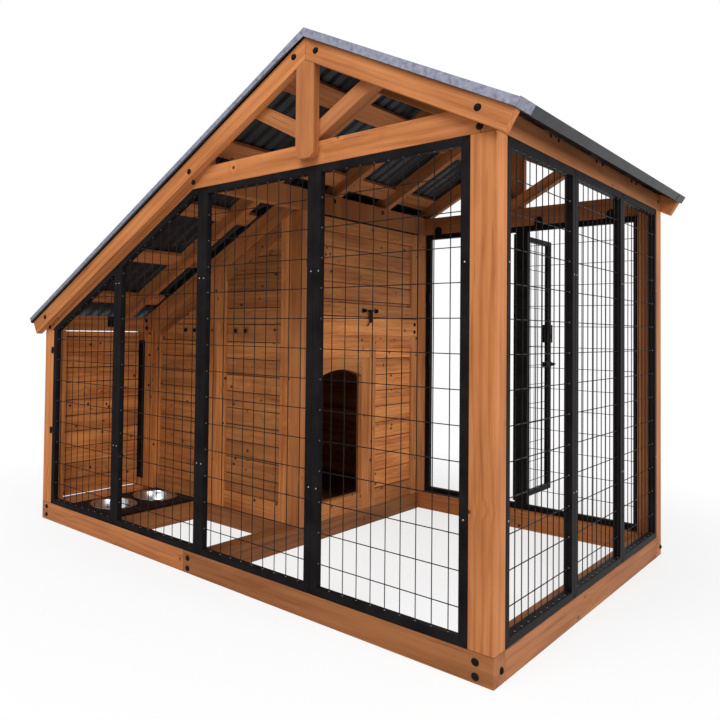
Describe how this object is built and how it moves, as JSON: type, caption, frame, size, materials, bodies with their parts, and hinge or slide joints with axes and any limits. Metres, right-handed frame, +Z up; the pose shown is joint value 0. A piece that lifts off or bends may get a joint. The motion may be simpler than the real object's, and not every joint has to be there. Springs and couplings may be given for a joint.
{
  "type": "outdoor wooden dog kennel",
  "caption": "Wooden dog kennel with a mesh-walled run, a plank cabin with an arched doorway, a feeding bay and one unequal gable roof of ribbed steel.",
  "frame": {"origin": "middle of the bounding box in X and Y, on the ground, with the rear door open as pictured", "axes": "+X along the long front from the low eave to the high eave, +Y from the front to the rear, +Z up"},
  "size_m": [2.4638, 2.3182, 2.0034],
  "materials": {
    "stained_softwood": "orange-brown stained softwood, satin, with grain and knots",
    "bright_softwood": "lighter orange stained softwood, satin, with fine grain",
    "black_powder_coat": "black powder coat, satin",
    "roof_steel": "grey coated ribbed sheet steel, satin",
    "stainless_steel": "bright spun stainless steel"
  },
  "bodies": {
    "kennel": {"bowl_tray": "black_powder_coat", "brace_front_left": "bright_softwood", "brace_front_right": "bright_softwood", "brace_pair_rear": "bright_softwood", "cabin_back_wall": "stained_softwood", "cabin_end_wall": "stained_softwood", "cabin_floor": "stained_softwood", "cabin_front_wall": "stained_softwood", "cabin_side_wall": "stained_softwood", "cabin_wall_plate": "stained_softwood", "door_frame": "black_powder_coat", "feeding_door_hinge": "black_powder_coat", "header_high": "stained_softwood", "header_low": "stained_softwood", "header_middle": "stained_softwood", "king_post_front": "bright_softwood", "king_post_rear": "bright_softwood", "mesh_panel_front_1": "black_powder_coat", "mesh_panel_front_2": "black_powder_coat", "mesh_panel_front_3": "black_powder_coat", "mesh_panel_front_4": "black_powder_coat", "mesh_panel_rear": "black_powder_coat", "mesh_panel_side_1": "black_powder_coat", "mesh_panel_side_2": "black_powder_coat", "mesh_panel_side_3": "black_powder_coat", "post_cabin_corner": "stained_softwood", "post_cabin_rear": "stained_softwood", "post_end_wall": "stained_softwood", "post_front_left": "stained_softwood", "post_front_right": "stained_softwood", "post_rear_left": "stained_softwood", "post_rear_right": "stained_softwood", "rafter_front_backing": "bright_softwood", "rafter_front_left": "bright_softwood", "rafter_front_right": "bright_softwood", "rafter_inner_1": "stained_softwood", "rafter_inner_2": "stained_softwood", "rafter_inner_3": "stained_softwood", "rafter_rear_left": "bright_softwood", "rafter_rear_right": "bright_softwood", "ridge_cap": "roof_steel", "roof_sheet_high": "roof_steel", "roof_sheet_low": "roof_steel", "sill_bowl_bay": "stained_softwood", "sill_cabin_front": "stained_softwood", "sill_cabin_side": "stained_softwood", "sill_front_left": "stained_softwood", "sill_front_right": "stained_softwood", "sill_left_end": "stained_softwood", "sill_rear": "stained_softwood", "sill_right_end": "stained_softwood", "tie_beam_front": "bright_softwood", "tie_beam_rear": "bright_softwood"},
    "door": {"door_leaf": "black_powder_coat"},
    "bolt": {"door_bolt": "black_powder_coat"},
    "feeding_door": {"feeding_door": "stained_softwood"},
    "hatch": {"cabin_hatch": "stained_softwood"},
    "hasp": {"hatch_hasp": "black_powder_coat"},
    "front_bowl": {"bowl_front": "stainless_steel"},
    "rear_bowl": {"bowl_rear": "stainless_steel"}
  },
  "joints": [
    {"name": "door_swing", "type": "hinge", "parent": "kennel", "child": "door", "pos_m": [0.5285, 0.6579, 0.8], "axis": [0, 0, 1], "range_deg": [-80, 90]},
    {"name": "bolt_slide", "type": "slide", "parent": "door", "child": "bolt", "axis": [0, 1, 0], "range_m": [-0.04, 0]},
    {"name": "feeding_door_swing", "type": "hinge", "parent": "kennel", "child": "feeding_door", "pos_m": [-1.1529, -0.5134, 0.519], "axis": [0, 0, -1], "range_deg": [0, 110]},
    {"name": "hatch_lift", "type": "hinge", "parent": "kennel", "child": "hatch", "pos_m": [0.022, 0.0459, 1.5214], "axis": [0, -1, 0], "range_deg": [0, 90]},
    {"name": "hasp_turn", "type": "hinge", "parent": "hatch", "child": "hasp", "pos_m": [0.034, 0.0509, 1.08], "axis": [0, -1, 0], "range_deg": [0, 150]},
    {"name": "front_bowl_lift", "type": "slide", "parent": "kennel", "child": "front_bowl", "axis": [0, 0, 1], "range_m": [0, 0.15]},
    {"name": "rear_bowl_lift", "type": "slide", "parent": "kennel", "child": "rear_bowl", "axis": [0, 0, 1], "range_m": [0, 0.15]}
  ]
}
